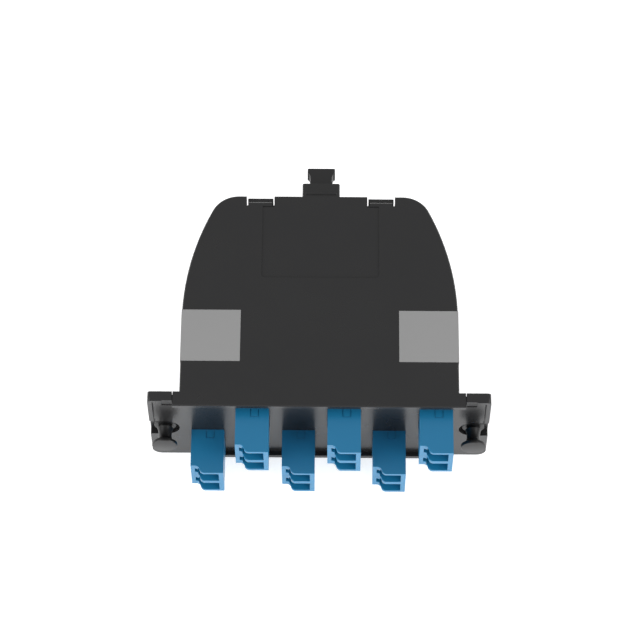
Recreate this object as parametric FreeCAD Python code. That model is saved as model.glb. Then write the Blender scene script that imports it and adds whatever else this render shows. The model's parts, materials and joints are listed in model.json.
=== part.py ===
"""Fibre cassette: a flat snap-together housing with six duplex LC adapters in two staggered rows.

Millimetres. +X is right, +Y is towards the rear, +Z is up. The origin lies midway between the two
plunger axes, on the rear face of the ears, which is the face that seats on the panel.
"""
import FreeCAD, Part
import math
import os

# Front plate and its ears
plate_width = 101.0
plate_height = 36.0
plate_thickness = 3.2
ear_width = 7.25
ear_clearance = 2.15
ear_top_radius = 1.0
ear_bottom_radius = 3.0
ear_seat_step = 0.3
ear_band_height = 7.2

# Housing shells
body_depth = 66.35
side_straight = 24.5
side_arc_radius = 85.5
rear_corner_radius = 8.7
wall = 1.5
floor_thickness = 1.6
cover_thickness = 1.6
lip_overhang = 1.4
bottom_lip_width = 70.0
shell_edge_break = 0.3
seat_gap = 0.1
seam_gap = 0.2

# Cover: locating rim, recess and snap tongues
rim_thickness = 1.2
rim_drop = 2.4
recess_width = 35.3
recess_front = 38.2
recess_depth = 0.3
recess_corner = 1.0
tongue_spacing = 36.66
tongue_width = 7.0
tongue_slot = 0.7
tongue_slot_length = 3.3
tongue_thickness = 1.35
tongue_drop = 10.5
tongue_bend = 1.3
barb_width = 4.6
barb_reach = 1.3
barb_height = 2.0
catch_gap = 0.25
catch_width = 7.7
catch_thinning = 0.4

# Snap ribs that join the plate to the tray
snap_rib_thickness = 1.1
snap_rib_length = 7.0
snap_rib_height = 13.0
snap_rib_offset = 8.5
snap_window_length = 3.0
snap_window_height = 6.0
snap_window_start = 2.5
snap_barb_reach = 1.0

# Duplex adapters
adapter_count = 6
adapter_end_room = 14.45
adapter_shift = 0.6
adapter_width = 9.8
adapter_height = 12.9
adapter_front = 14.15
adapter_rear = 10.6
lower_row_z = -7.9
upper_row_z = 7.1
adapter_flange = 0.8
adapter_flange_thickness = 1.2
cutout_gap = 0.08
port_pitch = 6.25
port_left_wall = 1.2
port_slot_width = 1.0
port_slot_height = 2.4
port_width = 6.2
port_height = 4.7
web_thickness = 2.0
holder_radius = 1.75
holder_length = 3.6
sleeve_radius = 0.8
sleeve_wall = 0.17
sleeve_length = 7.0
sleeve_split = 0.3
sleeve_gap = 0.03
nose_start = 1.3
nose_span = 2.8
nose_set_back = 2.35
tab_width = 2.1
tab_length = 2.4
tab_groove = 0.22
tab_groove_depth = 0.2
tab_offset = 0.75

# Plugs and fibres inside
ferrule_radius = 0.62
plug_gap = 0.15
plug_tail = 3.5
boot_length = 5.0
boot_width = 3.2
fibre_radius = 0.45
fibre_bend = 1.5
fan_pitch = 3.4
fan_depth = 5.0
fan_margin = 2.4
trunk_radius = 1.5
trunk_length = 4.35

# Plunger fasteners
plunger_inset = 4.55
pocket_radius = 4.3
pocket_depth = 2.0
grommet_flange_radius = 3.3
grommet_flange_thickness = 2.0
grommet_radius = 2.9
grommet_reach = 6.0
grommet_snap = 0.2
grommet_split = 0.6
plunger_radius = 1.95
plunger_gap = 0.05
plunger_head_radius = 3.77
plunger_head_thickness = 1.1
plunger_head_reach = 6.1
plunger_flare = 1.7
plunger_neck_radius = 1.75
plunger_collar_radius = 2.25
plunger_collar_start = 0.3
plunger_collar_taper = 2.1
plunger_tip = 5.6

# Ear relief: a groove along the outer edge and a shallow recess beside the cover
ear_groove_inset = 1.35
ear_groove_width = 0.45
ear_groove_depth = 0.9
ear_groove_top = 0.9
ear_recess_width = 3.1
ear_recess_height = 2.9
ear_recess_depth = 0.25

# Rear port and its dust cap
mpo_width = 11.6
mpo_height = 9.6
mpo_reach = 12.25
mpo_inside = 11.5
mpo_wall = 1.1
mpo_web = 1.6
mpo_flange = 1.2
mpo_flange_thickness = 1.4
mpo_band_width = 0.8
mpo_band_offset = 3.3
mpo_band_rise = 0.25
mpo_corner = 0.7
mt_width = 6.4
mt_height = 2.5
mt_gap = 0.05
cap_reach = 6.6
cap_height = 5.0
cap_end_width = 8.6
cap_end_thickness = 1.5
cap_waist_width = 6.6
cap_foot_width = 8.0
cap_plug_length = 8.0
cap_gap = 0.1
cap_seat_gap = 0.1
cap_corner = 0.5
mpo_plug_tail = 2.0
mpo_boot_length = 6.0

# Labels
label_width = 17.55
label_length = 17.0
label_start = 10.1
label_thickness = 0.12
label_drop = 11.0

body_width = plate_width - 2 * (ear_width + ear_clearance)
adapter_pitch = (body_width - adapter_end_room) / (adapter_count - 1)
half_height = plate_height / 2
half_body = body_width / 2
cover_bottom = half_height - cover_thickness
floor_top = floor_thickness - half_height
flange_half = plate_width / 2 - ear_width
plate_front = -plate_thickness
plate_rear = -ear_seat_step
lip_front = plate_front - lip_overhang
plunger_x = plate_width / 2 - plunger_inset
adapter_y0 = plate_front - adapter_front
web_y = (adapter_y0 + adapter_rear) / 2
mpo_rear = body_depth + mpo_reach
mpo_inner = body_depth - wall - mpo_inside
mpo_plug_rear = mpo_inner - mpo_plug_tail
mpo_boot_front = mpo_plug_rear - mpo_boot_length
fan_front = mpo_boot_front - trunk_length - fan_depth
Y_AXIS = FreeCAD.Vector(0, 1, 0)


def point(x, y, z):
    return FreeCAD.Vector(x, y, z)


def block(x0, x1, y0, y1, z0, z1):
    return Part.makeBox(x1 - x0, y1 - y0, z1 - z0, point(x0, y0, z0))


def rod(radius, y0, y1, x=0.0, z=0.0):
    return Part.makeCylinder(radius, y1 - y0, point(x, y0, z), Y_AXIS)


def taper(radius0, radius1, y0, y1, x=0.0, z=0.0):
    return Part.makeCone(radius0, radius1, y1 - y0, point(x, y0, z), Y_AXIS)


def eight_sided(radius, y0, y1, x, z):
    """Octagonal rod along Y, for the small round parts that stay hidden inside the adapters."""
    turns = [math.radians(22.5 + 45 * i) for i in range(8)]
    corners = [point(x + radius * math.cos(turn), y0, z + radius * math.sin(turn)) for turn in turns]
    return Part.Face(Part.makePolygon(corners + corners[:1])).extrude(point(0, y1 - y0, 0))


def edges_where(shape, test):
    return [edge for edge in shape.Edges if test(edge)]


def runs_along(edge, axis):
    if not isinstance(edge.Curve, Part.Line):
        return False
    return abs(edge.tangentAt(edge.FirstParameter).dot(axis)) > 0.999


def rounded_bar(x0, x1, y0, y1, z0, z1, radius):
    """A bar along Y with its four long edges rounded."""
    bar = block(x0, x1, y0, y1, z0, z1)
    return bar.makeFillet(radius, edges_where(bar, lambda edge: runs_along(edge, Y_AXIS)))


def arc_through(a, b, c):
    return Part.Arc(a, b, c).toShape()


def line(a, b):
    return Part.makeLine(a, b)


def housing(inset, y_front, z0, z1):
    """Prism on the housing's arched outline, moved inwards by inset."""
    side_centre = point(half_body - side_arc_radius, side_straight, z0)
    corner_y = body_depth - rear_corner_radius
    reach = side_arc_radius - rear_corner_radius
    corner_x = side_centre.x + math.sqrt(reach ** 2 - (corner_y - side_straight) ** 2)
    corner_centre = point(corner_x, corner_y, z0)
    meet = math.asin((corner_y - side_straight) / reach)
    turn = (meet + math.pi / 2) / 2

    def on_side(angle):
        radius = side_arc_radius - inset
        return side_centre + point(radius * math.cos(angle), radius * math.sin(angle), 0)

    def on_corner(angle):
        radius = rear_corner_radius - inset
        return corner_centre + point(radius * math.cos(angle), radius * math.sin(angle), 0)

    def mirrored(place):
        return point(-place.x, place.y, place.z)

    front = point(half_body - inset, y_front, z0)
    right = [line(front, on_side(0)), arc_through(on_side(0), on_side(meet / 2), on_side(meet))]
    right.append(arc_through(on_corner(meet), on_corner(turn), on_corner(math.pi / 2)))
    rear = line(on_corner(math.pi / 2), mirrored(on_corner(math.pi / 2)))
    corner_points = [mirrored(on_corner(angle)) for angle in (math.pi / 2, turn, meet)]
    side_points = [mirrored(on_side(angle)) for angle in (meet, meet / 2, 0)]
    left = [arc_through(*corner_points), arc_through(*side_points), line(side_points[2], mirrored(front))]
    outline = Part.Wire(right + [rear] + left + [line(mirrored(front), front)])
    return Part.Face(outline).extrude(point(0, 0, z1 - z0))


def adapter_places():
    """Left edge x and middle z of each adapter, from left to right, lower row first."""
    first = adapter_shift - adapter_pitch * (adapter_count - 1) / 2 - adapter_width / 2
    rows = (lower_row_z, upper_row_z)
    return [(first + adapter_pitch * i, rows[i % 2]) for i in range(adapter_count)]


def port_middle():
    return port_left_wall + port_slot_width + port_width / 2


def port_levels(z):
    return (z - port_pitch / 2, z + port_pitch / 2)


def make_front_plate():
    """Plate with the adapter cutouts; behind it only the pads of the ears reach the seat plane."""
    plate = block(-plate_width / 2, plate_width / 2, plate_front, 0, -half_height, half_height)
    bottom = edges_where(plate, lambda edge: runs_along(edge, Y_AXIS) and edge.BoundBox.ZMax < 0)
    plate = plate.makeFillet(ear_bottom_radius, bottom)
    top_level = half_height - 0.01
    top = edges_where(plate, lambda edge: runs_along(edge, Y_AXIS) and edge.BoundBox.ZMin > top_level)
    plate = plate.makeFillet(ear_top_radius, top)
    top_cut = flange_half
    plate = plate.cut(block(-top_cut, top_cut, plate_front - 1, 1, cover_bottom, half_height + 1))
    bottom_cut = bottom_lip_width / 2 + seam_gap
    plate = plate.cut(block(-bottom_cut, bottom_cut, plate_front - 1, 1, -half_height - 1, floor_top))
    for x, z in adapter_places():
        z_half = adapter_height / 2 + cutout_gap
        right = x + adapter_width + cutout_gap
        hole = block(x - cutout_gap, right, plate_front - 1, 1, z - z_half, z + z_half)
        plate = plate.cut(hole)
    band = ear_band_height / 2
    plate = plate.cut(block(-flange_half, flange_half, plate_rear, 1, -half_height - 1, half_height + 1))
    plate = plate.cut(block(-plate_width, plate_width, plate_rear, 1, -band, band))
    for side in (-1, 1):
        plate = plate.cut(ear_relief(side))
        plate = plate.fuse(snap_rib(side))
    return plate.removeSplitter()


def ear_relief(side):
    """What is cut from one ear: plunger pocket and hole, edge groove and the small corner recess."""
    pocket_floor = plate_front + pocket_depth
    x = side * plunger_x
    edge = side * plate_width / 2
    pocket = rod(pocket_radius, plate_front - 1, pocket_floor, x)
    x0, x1 = sorted((x, edge + side))
    pocket = pocket.fuse(block(x0, x1, plate_front - 1, pocket_floor, -pocket_radius, pocket_radius))
    hole = rod(grommet_radius - grommet_snap + plunger_gap, plate_front - 1, 1, x)
    x0, x1 = sorted((edge - side * ear_groove_inset, edge - side * (ear_groove_inset + ear_groove_width)))
    groove_top = half_height - ear_groove_top
    groove = block(x0, x1, plate_front - 1, plate_front + ear_groove_depth, pocket_radius - 0.01, groove_top)
    x0, x1 = sorted((side * (flange_half - 0.01), side * (flange_half + ear_recess_width)))
    recess_low = half_height - ear_recess_height
    recess = block(x0, x1, plate_front - 1, plate_front + ear_recess_depth, recess_low, half_height + 1)
    return pocket.fuse([hole, groove, recess])


def snap_rib(side):
    """Rib behind the plate that slides inside the tray wall and snaps into its window."""
    outer = half_body - wall - seat_gap
    x0, x1 = sorted((side * outer, side * (outer - snap_rib_thickness)))
    middle = -side * snap_rib_offset
    half = snap_rib_height / 2
    rib = block(x0, x1, plate_rear - 0.5, snap_rib_length, middle - half, middle + half)
    y0 = snap_window_start + catch_gap
    y1 = snap_window_start + snap_window_length - catch_gap
    low = middle - snap_window_height / 2 + catch_gap
    corners = [point(side * (outer - 0.2), y0, low), point(side * (outer + snap_barb_reach), y0, low)]
    corners += [point(side * outer, y1, low), point(side * (outer - 0.2), y1, low)]
    barb = Part.Face(Part.makePolygon(corners + corners[:1]))
    return rib.fuse(barb.extrude(point(0, 0, snap_window_height - 2 * catch_gap)))


def make_base_tray():
    tray = housing(0, plate_rear, -half_height, cover_bottom)
    hollow = housing(wall, -1, floor_top, cover_bottom + 1)
    tray = tray.cut(hollow)
    lip_half = bottom_lip_width / 2
    tray = tray.fuse(block(-lip_half, lip_half, lip_front, 0.5, -half_height, floor_top))
    for side in (-1, 1):
        tray = tray.cut(catch_cuts(side)).cut(snap_window(side))
    tray = tray.cut(mpo_cutout())
    tray = tray.fuse(fan_posts())
    tray = tray.removeSplitter()
    bottom_level = 0.01 - half_height
    bottom = edges_where(tray, lambda edge: edge.BoundBox.ZMax < bottom_level and edge.BoundBox.YMax > 1)
    return tray.makeChamfer(shell_edge_break, bottom)


def catch_cuts(side):
    """Two slits, a thinned inner face and a window make a springy catch of the rear wall."""
    x = side * tongue_spacing / 2
    half = tongue_width / 2 + tongue_slot
    strip = catch_width / 2
    inner = body_depth - wall
    low = cover_bottom - tongue_drop - catch_gap
    slits = block(x - half, x + half, inner - 1, body_depth + 1, low, cover_bottom + 1)
    kept = block(x - strip, x + strip, inner + catch_thinning, body_depth + 2, low - 1, cover_bottom + 2)
    barb_low = cover_bottom - tongue_drop + barb_height / 2
    window_half = barb_width / 2 + catch_gap
    window = block(x - window_half, x + window_half, inner - 1, body_depth + 1,
                   barb_low - catch_gap, barb_low + barb_height + catch_gap)
    return slits.cut(kept).fuse(window)


def snap_window(side):
    x0, x1 = sorted((side * (half_body - wall - 1), side * (half_body + 1)))
    middle = -side * snap_rib_offset
    half = snap_window_height / 2
    end = snap_window_start + snap_window_length
    return block(x0, x1, snap_window_start, end, middle - half, middle + half)


def mpo_cutout():
    x = mpo_width / 2 + cutout_gap
    z = mpo_height / 2 + cutout_gap
    return block(-x, x, body_depth - wall - 1, body_depth + 1, -z, z)


def fan_posts():
    """Two posts on the floor that hold the fan-out block from both sides."""
    half = fan_half_width()
    posts = []
    for side in (-1, 1):
        x0, x1 = sorted((side * (half + seat_gap), side * (half + seat_gap + wall)))
        posts.append(block(x0, x1, fan_front, fan_front + fan_depth, floor_top - 0.2, upper_row_z))
    return posts[0].fuse(posts[1])


def make_top_cover():
    cover = housing(0, lip_front, cover_bottom, half_height)
    flange = block(-flange_half + seam_gap, flange_half - seam_gap, lip_front, 0, cover_bottom, half_height)
    cover = cover.fuse(flange)
    rim = housing(wall + seat_gap, snap_rib_length + 1, cover_bottom - rim_drop, cover_bottom + 0.2)
    inset = wall + seat_gap + rim_thickness
    rim = rim.cut(housing(inset, snap_rib_length, cover_bottom - 5, cover_bottom + 1))
    rim = rim.cut(block(-half_body, half_body, 0, adapter_rear + 1, 0, cover_bottom - 0.01))
    cover = cover.fuse(rim)
    for side in (-1, 1):
        cover = cover.cut(tongue_relief(side)).fuse(tongue(side))
    cover = cover.cut(cover_recess()).removeSplitter()
    top = edges_where(cover, is_cover_brim)
    return cover.makeChamfer(shell_edge_break, top)


def is_cover_brim(edge):
    """Edges of the cover's top face that lie on its outer outline, clear of the tongues."""
    box = edge.BoundBox
    if box.ZMin < half_height - 0.01:
        return False
    on_front = box.YMax < lip_front + 0.01
    on_side = box.YMin > -0.01 and max(abs(box.XMin), abs(box.XMax)) > half_body - 0.05 and box.YLength > 1
    return on_front or on_side


def tongue_relief(side):
    """Removes the cover and its rim round one tongue, leaving room for its slots."""
    x = side * tongue_spacing / 2
    half = tongue_width / 2 + tongue_slot
    start = body_depth - tongue_slot_length
    return block(x - half, x + half, start, body_depth + 1, cover_bottom - 5, half_height + 1)


def tongue(side):
    """Snap tongue: bends down inside the tray's rear wall and ends in a barb that faces out."""
    x = side * tongue_spacing / 2
    outer = body_depth - wall - seat_gap
    inner = outer - tongue_thickness
    start = body_depth - tongue_slot_length - 0.2
    low = cover_bottom - tongue_drop
    top = block(x - tongue_width / 2, x + tongue_width / 2, start, outer, cover_bottom, half_height)
    leg = block(x - tongue_width / 2, x + tongue_width / 2, inner, outer, low, half_height)
    arm = top.fuse(leg).removeSplitter()
    top_level = half_height - 0.01
    bend = edges_where(arm, lambda edge: edge.BoundBox.YMin > outer - 0.01 and edge.BoundBox.ZMin > top_level)
    arm = arm.makeFillet(tongue_bend, bend)
    barb_low = low + barb_height / 2
    edge = x - barb_width / 2
    corners = [point(edge, outer - 0.2, barb_low), point(edge, outer, barb_low)]
    corners += [point(edge, outer + barb_reach, barb_low + barb_height)]
    corners += [point(edge, outer - 0.2, barb_low + barb_height)]
    barb = Part.Face(Part.makePolygon(corners + corners[:1])).extrude(point(barb_width, 0, 0))
    return arm.fuse(barb)


def cover_recess():
    """Shallow panel between the tongues, open at the rear edge."""
    half = recess_width / 2
    low = half_height - recess_depth
    slab = block(-half, half, recess_front, body_depth + 5, low, half_height + 1)
    upright = point(0, 0, 1)
    front_limit = recess_front + 0.01
    front = edges_where(slab, lambda edge: runs_along(edge, upright) and edge.BoundBox.YMax < front_limit)
    slab = slab.makeFillet(recess_corner, front)
    for side in (-1, 1):
        x = side * tongue_spacing / 2
        keep = tongue_width / 2 + tongue_slot
        rear = body_depth - tongue_slot_length - 0.2
        slab = slab.cut(block(x - keep, x + keep, rear, body_depth + 6, low - 1, half_height + 2))
    return slab


def adapter_outline(x, z0):
    """Plan of one adapter: its nose steps back in an S beside the latch slots."""
    y = adapter_y0
    middle_x = x + nose_start + nose_span / 2
    middle_y = y + nose_set_back / 2
    half_turn = math.atan2(nose_set_back, nose_span)
    radius = nose_span / 2 / math.sin(2 * half_turn)
    shift_x = radius * math.sin(half_turn)
    shift_y = radius * (1 - math.cos(half_turn))
    a = point(x + nose_start, y + nose_set_back, z0)
    b = point(a.x + shift_x, a.y - shift_y, z0)
    c = point(middle_x, middle_y, z0)
    e = point(x + nose_start + nose_span, y, z0)
    d = point(e.x - shift_x, e.y + shift_y, z0)
    rear = adapter_rear
    corner = [point(x + adapter_width, y, z0), point(x + adapter_width, rear, z0), point(x, rear, z0)]
    start = point(x, a.y, z0)
    edges = [line(start, a), arc_through(a, b, c), arc_through(c, d, e), line(e, corner[0])]
    edges += [line(corner[0], corner[1]), line(corner[1], corner[2]), line(corner[2], start)]
    return Part.Face(Part.Wire(edges))


def make_adapter(x, z):
    low = z - adapter_height / 2
    body = adapter_outline(x, low).extrude(point(0, 0, adapter_height))
    flange_low = low - adapter_flange
    flange_high = low + adapter_height + adapter_flange
    flange_rear = plate_rear + adapter_flange_thickness
    body = body.fuse(block(x, x + adapter_width, plate_rear, flange_rear, flange_low, flange_high))
    web_front = web_y - web_thickness / 2
    web_rear = web_y + web_thickness / 2
    middle = x + port_middle()
    for level in port_levels(z):
        for y0, y1 in ((adapter_y0 - 1, web_front), (web_rear, adapter_rear + 1)):
            body = body.cut(port_cavity(x, level, y0, y1))
        holder_front = web_front - holder_length
        holder_rear = web_rear + holder_length
        body = body.fuse(eight_sided(holder_radius, holder_front, holder_rear, middle, level))
        body = body.cut(eight_sided(sleeve_radius + sleeve_gap, adapter_y0, adapter_rear, middle, level))
    return body.cut(tab_grooves(x, low + adapter_height)).removeSplitter()


def port_cavity(x, level, y0, y1):
    slot_x = x + port_left_wall
    wide_x = slot_x + port_slot_width
    slot = block(slot_x, wide_x + 0.1, y0, y1, level - port_slot_height / 2, level + port_slot_height / 2)
    wide = block(wide_x, wide_x + port_width, y0, y1, level - port_height / 2, level + port_height / 2)
    return slot.fuse(wide)


def tab_grooves(x, top):
    """U-shaped groove that frees the small snap tab on the adapter's upper face."""
    middle = x + adapter_width / 2 + tab_offset
    half = tab_width / 2
    rear = plate_front - cutout_gap
    front = rear - tab_length
    low = top - tab_groove_depth
    outer_half = half + tab_groove
    outer = block(middle - outer_half, middle + outer_half, front - tab_groove, rear, low, top + 1)
    return outer.cut(block(middle - half, middle + half, front, rear + 1, low - 1, top + 2))


def make_sleeves(x, z):
    """Pair of split alignment sleeves for one adapter."""
    middle = x + port_middle()
    sleeves = []
    for level in port_levels(z):
        y0 = web_y - sleeve_length / 2
        tube = eight_sided(sleeve_radius, y0, y0 + sleeve_length, middle, level)
        bore = sleeve_radius - sleeve_wall
        tube = tube.cut(eight_sided(bore, y0 - 1, y0 + sleeve_length + 1, middle, level))
        split = block(middle - sleeve_split / 2, middle + sleeve_split / 2, y0 - 1, y0 + sleeve_length + 1,
                      level, level + sleeve_radius + 1)
        sleeves.append(tube.cut(split))
    return Part.Compound(sleeves)


def plug_front():
    return web_y + web_thickness / 2 + holder_length + plug_gap


def plug_rear():
    return adapter_rear + plug_tail


def make_plug(x, level):
    """One LC plug in the adapter's inner port, with its latch arm and ferrule."""
    middle = x + port_middle()
    half_x = port_width / 2 - plug_gap
    half_z = port_height / 2 - plug_gap
    body = block(middle - half_x, middle + half_x, plug_front(), plug_rear(), level - half_z, level + half_z)
    arm_x = middle - half_x
    arm_half = port_slot_height / 2 - plug_gap
    arm = block(arm_x - port_slot_width + plug_gap, arm_x + 0.1, plug_front() + 1, adapter_rear - 1,
                level - arm_half, level + arm_half)
    ferrule = eight_sided(ferrule_radius, web_y, plug_front() + 1, middle, level)
    return body.fuse([arm, ferrule]).removeSplitter()


def make_boots(x, z):
    middle = x + port_middle()
    y0 = plug_rear()
    half = boot_width / 2
    boots = []
    for level in port_levels(z):
        boots.append(block(middle - half, middle + half, y0, y0 + boot_length, level - half, level + half))
    return Part.Compound(boots)


def fan_half_width():
    return fan_pitch * (adapter_count - 1) / 2 + fan_margin


def make_fan_block():
    """Block that gathers the twelve fibres into the trunk."""
    half = fan_half_width()
    low = lower_row_z - port_pitch / 2 - fan_margin
    high = upper_row_z + port_pitch / 2 + fan_margin
    return block(-half, half, fan_front, fan_front + fan_depth, low, high)


def bend_points(before, corner, after):
    """Where a path leaves and rejoins its straight runs round one corner."""
    back = (before - corner).normalize()
    ahead = (after - corner).normalize()
    return [corner + back * fibre_bend, corner + ahead * fibre_bend]


def make_fibre(x, level, index):
    """One fibre from its boot to the fan-out block, in its own level."""
    start_y = plug_rear() + boot_length
    x0 = x + port_middle()
    x1 = fan_pitch * (index - (adapter_count - 1) / 2)
    span = fan_front - start_y
    corners = [point(x0, start_y, level), point(x0, start_y + span * 0.3, level)]
    corners += [point(x1, fan_front - span * 0.3, level), point(x1, fan_front, level)]
    path = corners[:1] + bend_points(*corners[:3]) + bend_points(*corners[1:]) + corners[3:]
    return Part.makePolygon(path).makePipeShell([six_sided(fibre_radius, corners[0])], True, False, 1)


def six_sided(radius, centre):
    """Hexagonal section across Y, which keeps the fine fibres light."""
    turns = [math.radians(60 * i) for i in range(6)]
    corners = [centre + point(radius * math.cos(turn), 0, radius * math.sin(turn)) for turn in turns]
    return Part.makePolygon(corners + corners[:1])


def make_fibres(index, x, z):
    return Part.Compound([make_fibre(x, level, index) for level in port_levels(z)])


def make_trunk():
    y0 = fan_front + fan_depth
    return rod(trunk_radius, y0, mpo_boot_front)


def make_mpo_adapter():
    x = mpo_width / 2
    z = mpo_height / 2
    body = rounded_bar(-x, x, mpo_inner, mpo_rear, -z, z, mpo_corner)
    inner_face = body_depth - wall
    flange = block(-x - mpo_flange, x + mpo_flange, inner_face - mpo_flange_thickness, inner_face,
                   -z - mpo_flange, z + mpo_flange)
    band_y = mpo_rear - mpo_band_offset
    band = block(-x + 1, x - 1, band_y - mpo_band_width, band_y, -z - mpo_band_rise, z + mpo_band_rise)
    body = body.fuse([flange, band])
    web = mpo_web_middle()
    for y0, y1 in ((mpo_inner - 1, web - mpo_web / 2), (web + mpo_web / 2, mpo_rear + 1)):
        body = body.cut(block(mpo_wall - x, x - mpo_wall, y0, y1, mpo_wall - z, z - mpo_wall))
    slot_x = mt_width / 2 + mt_gap
    slot_z = mt_height / 2 + mt_gap
    slot = block(-slot_x, slot_x, mpo_inner, mpo_rear, -slot_z, slot_z)
    return body.cut(slot).removeSplitter()


def mpo_web_middle():
    return (mpo_inner + mpo_rear) / 2


def make_mpo_plug():
    x = mpo_width / 2 - mpo_wall - plug_gap
    z = mpo_height / 2 - mpo_wall - plug_gap
    y1 = mpo_web_middle() - mpo_web / 2 - plug_gap
    body = block(-x, x, mpo_plug_rear, y1, -z, z)
    ferrule_end = mpo_web_middle() + mpo_web
    ferrule = block(-mt_width / 2, mt_width / 2, y1 - 1, ferrule_end, -mt_height / 2, mt_height / 2)
    return body.fuse(ferrule).removeSplitter()


def make_mpo_boot():
    """Boot that narrows in X and Z from the plug's housing to the trunk."""
    half_x = mpo_width / 2 - mpo_wall - 1
    half_z = mpo_height / 2 - mpo_wall - 1
    tip = trunk_radius + 0.5
    y0 = mpo_boot_front
    y1 = mpo_plug_rear
    plan = Part.makePolygon([point(-half_x, y1, -half_z), point(half_x, y1, -half_z), point(tip, y0, -half_z),
                             point(-tip, y0, -half_z), point(-half_x, y1, -half_z)])
    side = Part.makePolygon([point(-half_x, y1, -half_z), point(-half_x, y1, half_z), point(-half_x, y0, tip),
                             point(-half_x, y0, -tip), point(-half_x, y1, -half_z)])
    flat = Part.Face(plan).extrude(point(0, 0, 2 * half_z))
    return flat.common(Part.Face(side).extrude(point(2 * half_x, 0, 0)))


def make_dust_cap():
    """Waisted pull cap: a plug inside the rear port and an hourglass grip outside it."""
    foot = mpo_rear + cap_seat_gap
    end = foot + cap_reach
    flare = end - cap_end_thickness
    half_z = cap_height / 2
    waist = (foot + flare) / 2
    corners = [(cap_foot_width / 2, foot), (cap_waist_width / 2, waist), (cap_end_width / 2 - 0.4, flare)]
    right = [point(x, y, -half_z) for x, y in corners]
    left = [point(-x, y, -half_z) for x, y in corners]
    right_side = arc_through(*right)
    left_side = arc_through(left[2], left[1], left[0])
    edges = [right_side, line(right[2], left[2]), left_side, line(left[0], right[0])]
    grip = Part.Face(Part.Wire(edges)).extrude(point(0, 0, cap_height))
    half_end = cap_end_width / 2
    flange = rounded_bar(-half_end, half_end, flare - 0.01, end, -half_z, half_z, cap_corner)
    x = mpo_width / 2 - mpo_wall - cap_gap
    z = mpo_height / 2 - mpo_wall - cap_gap
    plug = block(-x, x, foot - cap_plug_length, foot + 0.01, -z, z)
    hollow = block(-mt_width / 2 - 0.4, mt_width / 2 + 0.4, foot - cap_plug_length - 1, foot - 1,
                   -mt_height / 2 - 0.4, mt_height / 2 + 0.4)
    return grip.fuse([flange, plug]).cut(hollow).removeSplitter()


def make_grommet(side):
    """Split grommet whose barrel snaps through the ear; the plunger slides in it."""
    x = side * plunger_x
    floor = plate_front + pocket_depth
    flange = rod(grommet_flange_radius, floor - grommet_flange_thickness, floor, x)
    neck = rod(grommet_radius - grommet_snap, floor, 0, x)
    body = flange.fuse([neck, rod(grommet_radius, 0, grommet_reach, x)])
    body = body.cut(rod(plunger_radius + plunger_gap, plate_front - 1, grommet_reach + 1, x))
    half = grommet_split / 2
    reach = grommet_radius + 1
    return body.cut(block(x - reach, x + reach, 0.5, grommet_reach + 1, -half, half))


def make_plunger(side):
    """Push-pull plunger with a flared round head, turned about its own axis."""
    x = side * plunger_x
    face = plate_front - plunger_head_reach
    back = face + plunger_head_thickness
    collar = plate_front - plunger_collar_start
    head = rod(plunger_head_radius, face, back, x)
    flare = taper(plunger_head_radius - 0.5, plunger_neck_radius, back, back + plunger_flare, x)
    neck = rod(plunger_neck_radius, back + plunger_flare, collar - plunger_collar_taper, x)
    base = taper(plunger_neck_radius, plunger_collar_radius, collar - plunger_collar_taper, collar, x)
    stem = rod(plunger_radius, collar, plunger_tip, x)
    return head.fuse([flare, neck, base, stem]).removeSplitter()


def make_label(side):
    """Blank film label: lies on the cover and folds down over the side wall."""
    y1 = label_start + label_length
    x0, x1 = sorted((side * (half_body - label_width), side * (half_body + 1)))
    top = half_height + label_thickness
    film = housing(-label_thickness, lip_front, half_height - label_drop, top)
    film = film.cut(housing(0, lip_front - 1, half_height - label_drop - 1, half_height))
    return film.common(block(x0, x1, label_start, y1, -half_height, top + 1))


def build():
    nodes = {"front_plate": make_front_plate(), "base_tray": make_base_tray(), "top_cover": make_top_cover()}
    for index, (x, z) in enumerate(adapter_places()):
        number = index + 1
        nodes["lc_adapter_%d" % number] = make_adapter(x, z)
        nodes["lc_sleeves_%d" % number] = make_sleeves(x, z)
        for letter, level in zip("ab", port_levels(z)):
            nodes["lc_plug_%d%s" % (number, letter)] = make_plug(x, level)
        nodes["lc_boots_%d" % number] = make_boots(x, z)
        nodes["fibres_%d" % number] = make_fibres(index, x, z)
    nodes["fan_out_block"] = make_fan_block()
    nodes["trunk_cable"] = make_trunk()
    nodes["mpo_adapter"] = make_mpo_adapter()
    nodes["mpo_plug"] = make_mpo_plug()
    nodes["mpo_boot"] = make_mpo_boot()
    nodes["mpo_dust_cap"] = make_dust_cap()
    for name, side in (("left", -1), ("right", 1)):
        nodes["grommet_" + name] = make_grommet(side)
        nodes["plunger_" + name] = make_plunger(side)
        nodes["label_" + name] = make_label(side)
    return nodes


os.makedirs("parts", exist_ok=True)
for node, shape in build().items():
    print("%-16s solids %d valid %s volume %.2f" % (node, len(shape.Solids), shape.isValid(), shape.Volume))
    shape.exportStep("parts/%s.step" % node)
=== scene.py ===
# %% [markdown]
# # Fibre cassette
# A fibre cassette is a flat black box that snaps into a patch panel. Six blue duplex adapters face
# the user, and one multi-fibre port, with its dust cap on, leaves at the back. The solids arrive
# from the CAD frame at their true size. This lesson finishes each of them as the moulder would.

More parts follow.
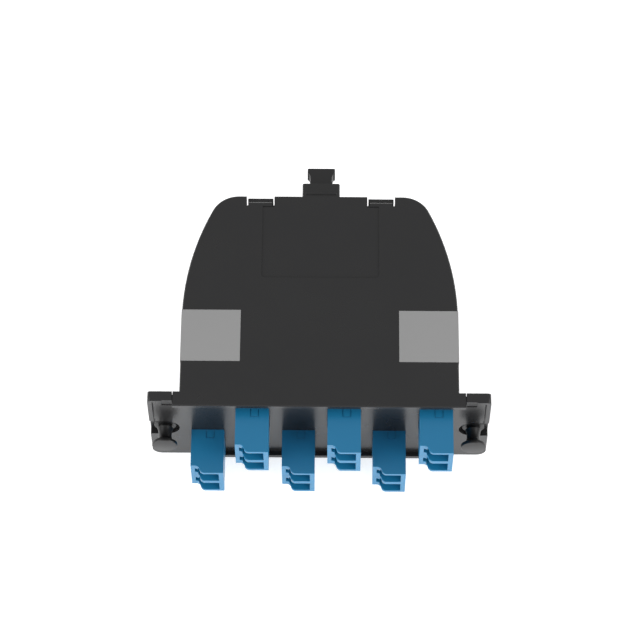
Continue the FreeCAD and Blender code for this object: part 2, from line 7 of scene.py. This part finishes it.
# %% Load the frame
import bpy
import json
import math
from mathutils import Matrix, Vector


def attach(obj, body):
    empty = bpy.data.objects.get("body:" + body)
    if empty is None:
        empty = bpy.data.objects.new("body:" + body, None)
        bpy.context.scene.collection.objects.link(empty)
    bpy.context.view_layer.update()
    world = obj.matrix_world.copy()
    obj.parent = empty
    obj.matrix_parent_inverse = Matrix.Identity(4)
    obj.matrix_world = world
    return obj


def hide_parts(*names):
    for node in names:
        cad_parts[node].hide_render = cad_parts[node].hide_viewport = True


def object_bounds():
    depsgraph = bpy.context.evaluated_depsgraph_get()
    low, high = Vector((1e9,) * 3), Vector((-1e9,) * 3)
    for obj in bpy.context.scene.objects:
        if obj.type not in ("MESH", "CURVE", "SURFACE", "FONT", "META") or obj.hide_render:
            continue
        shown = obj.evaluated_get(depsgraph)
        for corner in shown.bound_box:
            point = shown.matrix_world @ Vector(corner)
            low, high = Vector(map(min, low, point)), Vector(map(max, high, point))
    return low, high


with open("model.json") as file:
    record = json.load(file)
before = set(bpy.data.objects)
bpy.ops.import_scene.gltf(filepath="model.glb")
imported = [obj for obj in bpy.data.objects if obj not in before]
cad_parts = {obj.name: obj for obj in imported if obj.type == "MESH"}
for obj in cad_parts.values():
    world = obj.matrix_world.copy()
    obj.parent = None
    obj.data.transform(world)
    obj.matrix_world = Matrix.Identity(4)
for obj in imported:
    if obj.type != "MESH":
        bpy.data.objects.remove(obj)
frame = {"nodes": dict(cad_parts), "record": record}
cad_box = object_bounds()
nodes = frame["nodes"]
print("nodes", len(nodes), "box", [tuple(round(v, 4) for v in corner) for corner in cad_box])

# %% [markdown]
# ## Small helpers
# An operator acts on everything that is selected, and the imported solids start out selected. So
# each step first lets go of everything, and then takes hold of one piece.

# %% Selecting and placing
MM = 0.001


def deselect():
    if bpy.context.object and bpy.context.object.mode != "OBJECT":
        bpy.ops.object.mode_set(mode="OBJECT")
    bpy.ops.object.select_all(action="DESELECT")


def take(piece):
    deselect()
    piece.select_set(True)
    bpy.context.view_layer.objects.active = piece
    return piece


def settle(piece):
    """Puts a piece's place into its mesh, so that its object sits at the origin."""
    take(piece)
    bpy.ops.object.transform_apply(location=True, rotation=True, scale=True)
    return piece


def apply_modifier(piece, kind, **settings):
    take(piece)
    modifier = piece.modifiers.new(kind.title(), kind)
    for name, value in settings.items():
        setattr(modifier, name, value)
    bpy.ops.object.modifier_apply(modifier=modifier.name)
    return piece


def report(piece):
    print(piece.name, "faces", len(piece.data.polygons))
    return piece


deselect()

# %% [markdown]
# ## Softened edges
# A moulded part has no knife edges: steel is cut with a small radius, and plastic shrinks round it.
# The solids have sharp corners, so each visible shell gets a copy whose triangles are merged back
# into flat faces, and whose edges are then bevelled. The bevel is what catches the light.

# %% Soften a shell
CREASE = math.radians(32)


def softened(node, name, width, segments=2, body="housing"):
    """A copy of a CAD node with merged faces and rounded edges, which stands for the node."""
    source = nodes[node]
    piece = bpy.data.objects.new(name, source.data.copy())
    bpy.context.scene.collection.objects.link(piece)
    take(piece)
    bpy.ops.object.mode_set(mode="EDIT")
    bpy.ops.mesh.select_all(action="SELECT")
    bpy.ops.mesh.remove_doubles(threshold=1e-6)
    bpy.ops.object.mode_set(mode="OBJECT")
    apply_modifier(piece, "BEVEL", width=width * MM, segments=segments, limit_method="ANGLE",
                   angle_limit=CREASE, use_clamp_overlap=True, miter_outer="MITER_ARC")
    take(piece)
    bpy.ops.object.shade_smooth_by_angle(angle=CREASE)
    apply_modifier(piece, "WEIGHTED_NORMAL", keep_sharp=True)
    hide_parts(node)
    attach(piece, body)
    return report(piece)

# %% [markdown]
# ## Shader arithmetic
# A node tree is easier to read as arithmetic. `Value` wraps one socket, and each operator adds the
# Math node that it stands for. `Recipe` holds one material and adds every other kind of node.

# %% Wrap sockets and nodes
class Value:
    def __init__(self, recipe, socket):
        self.recipe = recipe
        self.socket = socket

    def _math(self, operation, first, second):
        return self.recipe.add("ShaderNodeMath", {"operation": operation}, {0: first, 1: second})

    def __add__(self, other):
        return self._math("ADD", self, other)

    def __radd__(self, other):
        return self._math("ADD", other, self)

    def __sub__(self, other):
        return self._math("SUBTRACT", self, other)

    def __rsub__(self, other):
        return self._math("SUBTRACT", other, self)

    def __mul__(self, other):
        return self._math("MULTIPLY", self, other)

    def __rmul__(self, other):
        return self._math("MULTIPLY", other, self)


class Recipe:
    """One material, built round its Principled shader."""

    def __init__(self, name, **fixed):
        self.material = bpy.data.materials.new(name)
        self.material.use_nodes = True
        self.tree = self.material.node_tree
        self.shader = self.tree.nodes["Principled BSDF"]
        for socket, value in fixed.items():
            self.shader.inputs[socket.replace("_", " ")].default_value = value

    def add(self, kind, settings, sockets, output=0):
        node = self.tree.nodes.new(kind)
        for name, value in settings.items():
            setattr(node, name, value)
        for name, value in sockets.items():
            self.feed(node.inputs[name], value)
        return Value(self, node.outputs[output])

    def feed(self, socket, value):
        if isinstance(value, Value):
            self.tree.links.new(value.socket, socket)
        else:
            socket.default_value = value

    def put(self, socket, value):
        self.feed(self.shader.inputs[socket], value)

    def place(self):
        return self.add("ShaderNodeTexCoord", {}, {}, output="Object")

    def noise(self, size, detail=2.0):
        """Noise whose features are about size millimetres across."""
        sockets = {"Vector": self.place(), "Scale": 1 / (size * MM), "Detail": detail}
        return self.add("ShaderNodeTexNoise", {}, sockets, output="Fac")

    def blend(self, amount, first, second):
        # A Mix node's colour sockets are found by number, because its other types share their names.
        sockets = {"Factor": amount, 6: (*first, 1.0), 7: (*second, 1.0)}
        return self.add("ShaderNodeMix", {"data_type": "RGBA"}, sockets, output=2)

    def bump(self, height, depth):
        """Raises the surface by up to depth millimetres."""
        sockets = {"Height": height, "Distance": depth * MM, "Strength": 1.0}
        self.put("Normal", self.add("ShaderNodeBump", {}, sockets, output="Normal"))


# %% [markdown]
# ## Black moulding
# The housing is black ABS or polycarbonate from a tool with a very fine spark finish. Seen close it
# is not one black: its grain scatters light, and its roughness drifts where the melt flowed. Both
# are noise on Object coordinates, at two sizes. The other plastics use the same recipe.

# %% Plastic finishes
FLOW_SIZE = 18.0


def moulded(name, dark, light, roughness, spread, grain, depth, **fixed):
    """A plastic whose colour lies between dark and light, with grain and depth in millimetres."""
    recipe = Recipe(name, **fixed)
    flow = recipe.noise(FLOW_SIZE, detail=3.0)
    fine = recipe.noise(grain, detail=2.0)
    recipe.put("Base Color", recipe.blend(flow * 0.7 + fine * 0.3, dark, light))
    recipe.put("Roughness", flow * spread + (roughness - spread / 2))
    recipe.bump(fine, depth)
    return recipe.material


finishes = {
    "housing_black": moulded("housing_black", (0.0105, 0.0105, 0.011), (0.0145, 0.0145, 0.015),
                             roughness=0.27, spread=0.04, grain=0.22, depth=0.002, IOR=1.5),
    "adapter_blue": moulded("adapter_blue", (0.006, 0.128, 0.262), (0.009, 0.142, 0.284),
                            roughness=0.33, spread=0.05, grain=0.3, depth=0.002, IOR=1.5),
    "ceramic": moulded("ceramic", (0.82, 0.8, 0.74), (0.86, 0.84, 0.79),
                       roughness=0.18, spread=0.04, grain=0.1, depth=0.001, IOR=2.1),
    "plug_blue": moulded("plug_blue", (0.03, 0.15, 0.36), (0.04, 0.18, 0.4),
                         roughness=0.4, spread=0.05, grain=0.3, depth=0.003),
    "boot_white": moulded("boot_white", (0.7, 0.7, 0.68), (0.76, 0.76, 0.74),
                          roughness=0.5, spread=0.06, grain=0.3, depth=0.003),
    "fibre_jacket": moulded("fibre_jacket", (0.1, 0.5, 0.55), (0.13, 0.56, 0.6),
                            roughness=0.45, spread=0.06, grain=0.2, depth=0.002),
    "fitting_black": moulded("fitting_black", (0.016, 0.016, 0.0165), (0.021, 0.021, 0.0215),
                             roughness=0.36, spread=0.06, grain=0.25, depth=0.004, IOR=1.5),
    "boot_black": moulded("boot_black", (0.016, 0.016, 0.016), (0.022, 0.022, 0.022),
                          roughness=0.5, spread=0.06, grain=0.3, depth=0.004),
    "cap_black": moulded("cap_black", (0.009, 0.009, 0.0095), (0.013, 0.013, 0.0135),
                         roughness=0.46, spread=0.08, grain=0.3, depth=0.006, IOR=1.5),
    "fastener_black": moulded("fastener_black", (0.006, 0.006, 0.0063), (0.009, 0.009, 0.0093),
                              roughness=0.34, spread=0.06, grain=0.3, depth=0.003, IOR=1.41),
    "label_film": moulded("label_film", (0.235, 0.235, 0.235), (0.25, 0.25, 0.25),
                          roughness=0.55, spread=0.06, grain=0.15, depth=0.002),
}


def wear(piece, finish):
    """Gives a piece its one finish."""
    piece.data.materials.clear()
    piece.data.materials.append(finishes[finish])
    return piece


slots = {row["node"]: row["material_slot"] for row in frame["record"]["subparts"]}
for node, solid in nodes.items():
    for position in range(max(1, len(solid.material_slots))):
        if len(solid.material_slots) == 0:
            solid.data.materials.append(finishes[slots[node]])
        solid.material_slots[position].material = finishes[slots[node]]
print("finishes", len(finishes))

# %% [markdown]
# ## Shells
# The cover, tray and front plate keep their CAD form, and only their edges change.

# %% Soften the shells
shells = (("front_plate", "plate", 0.18), ("base_tray", "tray", 0.2), ("top_cover", "cover", 0.22))
for node, name, width in shells:
    wear(softened(node, name, width), "housing_black")

# %% Soften the adapters
for number in range(1, 7):
    adapter = softened("lc_adapter_%d" % number, "adapter_%d" % number, 0.1)
    wear(adapter, "adapter_blue")

# %% [markdown]
# ## Fittings
# The dust cap is rubber, so its edges are much rounder than those of hard plastic. The front face of
# each grommet is sunk a little below the plate, so that its hole reads as a dark ring.

# %% Soften the rear port, its cap, the grommets and the labels
FLANGE_FRONT = 0.5
FLANGE_SINK = 0.6

wear(softened("mpo_adapter", "rear_port", 0.18), "fitting_black")
wear(softened("mpo_dust_cap", "dust_cap", 0.4, segments=4, body="dust_cap"), "cap_black")
for side in ("left", "right"):
    collar = softened("grommet_" + side, "collar_" + side, 0.12)
    wear(collar, "fastener_black")
    front = min(corner.co.y for corner in collar.data.vertices)
    for corner in collar.data.vertices:
        if corner.co.y < front + FLANGE_FRONT * MM:
            corner.co.y += FLANGE_SINK * MM
    wear(softened("label_" + side, "label_film_" + side, 0.04), "label_film")

# %% [markdown]
# ## Plungers
# A push-pull plunger is turned or moulded round one axis. It is built as a lathe would cut it: a
# disc is the start, its end face is extruded along the axis, and each new ring is scaled to the
# radius that the profile asks for. The neck narrows in a curve, which a cone could only hint at.

# %% Turn a plunger from rings
def turned(name, start, rings, sides=56):
    """A round piece along Y: start is its first (radius, y), rings the ones that follow, in mm."""
    radius, y = start
    bpy.ops.mesh.primitive_circle_add(vertices=sides, radius=radius * MM, fill_type="NGON",
                                      location=(0, y * MM, 0), rotation=(math.pi / 2, 0, 0))
    piece = settle(bpy.context.object)
    piece.name = name
    bpy.ops.object.mode_set(mode="EDIT")
    bpy.ops.mesh.select_all(action="SELECT")
    for next_radius, next_y in rings:
        bpy.ops.mesh.extrude_region_move(TRANSFORM_OT_translate={"value": (0, (next_y - y) * MM, 0)})
        factor = next_radius / radius
        bpy.ops.transform.resize(value=(factor, 1, factor), center_override=(0, next_y * MM, 0))
        radius, y = next_radius, next_y
    bpy.ops.mesh.select_all(action="SELECT")
    bpy.ops.mesh.normals_make_consistent(inside=False)
    bpy.ops.object.mode_set(mode="OBJECT")
    bpy.ops.object.shade_smooth_by_angle(angle=CREASE)
    return piece


def reach(node, axis):
    """Lowest and highest coordinate of a CAD node along one axis, in mm."""
    values = [(nodes[node].matrix_world @ corner.co)[axis] / MM for corner in nodes[node].data.vertices]
    return min(values), max(values)


face, tip = reach("plunger_left", 1)
head = (reach("plunger_left", 2)[1] - reach("plunger_left", 2)[0]) / 2
# Each pair is a radius and a distance: from the head's own radius and face, then down the neck.
rim = [(-0.12, 0.05), (-0.03, 0.15), (0, 0.32), (0, 0.82), (-0.05, 0.98), (-0.2, 1.08), (-0.62, 1.2)]
neck = [(2.75, 1.45), (2.4, 1.85), (2.15, 2.4), (2.02, 3.0), (1.98, 3.5), (2.0, 4.1), (2.08, 4.7),
        (2.2, 5.25), (2.34, 5.62), (2.37, 5.78)]
STEM_RADIUS = 1.94
STEM_START = 5.8
profile = [(head + inset, face + depth) for inset, depth in rim]
profile += [(radius, face + depth) for radius, depth in neck]
profile += [(STEM_RADIUS, face + STEM_START), (STEM_RADIUS, tip - 0.5), (1.75, tip - 0.15), (1.45, tip)]
knob = turned("knob_left", (head - 0.3, face), profile)
for side in ("left", "right"):
    low_x, high_x = reach("plunger_" + side, 0)
    if side == "right":
        knob = knob.copy()
        knob.data = knob.data.copy()
        knob.name = "knob_right"
        bpy.context.scene.collection.objects.link(knob)
    take(knob)
    corners = knob.data.vertices
    centre = sum(corner.co.x for corner in corners) / len(corners)
    knob.location.x = (low_x + high_x) / 2 * MM - centre
    settle(knob)
    wear(knob, "fastener_black")
    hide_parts("plunger_" + side)
    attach(knob, "plunger_" + side)
    report(knob)

# %% [markdown]
# ## Floor, camera and light
# A white sweep with a broad light in front of the cassette gives bright front faces and calm,
# dark top faces. The long lens stands well back, so the shape hardly tapers.

# %% Floor
low, high = cad_box
middle = (low + high) / 2
bpy.ops.mesh.primitive_plane_add(size=6.0, location=(middle.x, middle.y, low.z - 0.03 * MM))
floor = bpy.context.object
floor.name = "floor"
floor_finish = Recipe("floor_white", Roughness=0.9)
floor_finish.put("Base Color", (0.9, 0.9, 0.9, 1.0))
floor_finish.put("Emission Color", (1.0, 1.0, 1.0, 1.0))
floor_finish.put("Emission Strength", 0.55)
floor.data.materials.append(floor_finish.material)

# %% Camera
CAMERA_ELEVATION = 62.5
CAMERA_TURN = 0.43
CAMERA_DISTANCE = 0.831
CAMERA_LENS = 155.2
aim = Vector((0.0, 0.0289, 0.0084))
rise = math.radians(CAMERA_ELEVATION)
turn = math.radians(CAMERA_TURN)
back = Vector((math.sin(turn) * math.cos(rise), -math.cos(turn) * math.cos(rise), math.sin(rise)))
bpy.ops.object.camera_add(location=aim + back * CAMERA_DISTANCE)
camera = bpy.context.object
camera.rotation_euler = (math.pi / 2 - rise, 0.0, turn)
camera.data.lens = CAMERA_LENS
camera.data.sensor_width = 36.0
camera.data.clip_start = 0.05
bpy.context.scene.camera = camera


# %% Lights
LIGHT_DISTANCE = 1.2
KEY_AZIMUTH, KEY_ELEVATION = 48, 14
FILL_AZIMUTH, FILL_ELEVATION = 90, 45


def softbox(name, azimuth, elevation, distance, size, power):
    """A square light that faces the cassette from a direction given in degrees."""
    a, e = math.radians(azimuth), math.radians(elevation)
    away = Vector((math.sin(a) * math.cos(e), -math.cos(a) * math.cos(e), math.sin(e)))
    bpy.ops.object.light_add(type="AREA", location=aim + away * distance)
    light = bpy.context.object
    light.name = name
    light.data.size = size
    light.data.energy = power
    light.rotation_euler = away.to_track_quat("Z", "Y").to_euler()
    return light


for side, sign in (("left", -1), ("right", 1)):
    softbox(side + "_key", sign * KEY_AZIMUTH, KEY_ELEVATION, LIGHT_DISTANCE, 0.7, 12)
for side, sign in (("left", -1), ("right", 1)):
    softbox(side + "_fill", sign * FILL_AZIMUTH, FILL_ELEVATION, LIGHT_DISTANCE, 0.8, 3)
world = bpy.data.worlds.new("studio")
world.use_nodes = True
background = world.node_tree.nodes["Background"]
background.inputs["Color"].default_value = (1.0, 1.0, 1.0, 1.0)
background.inputs["Strength"].default_value = 0.55
bpy.context.scene.world = world
bpy.context.scene.view_settings.view_transform = "Standard"
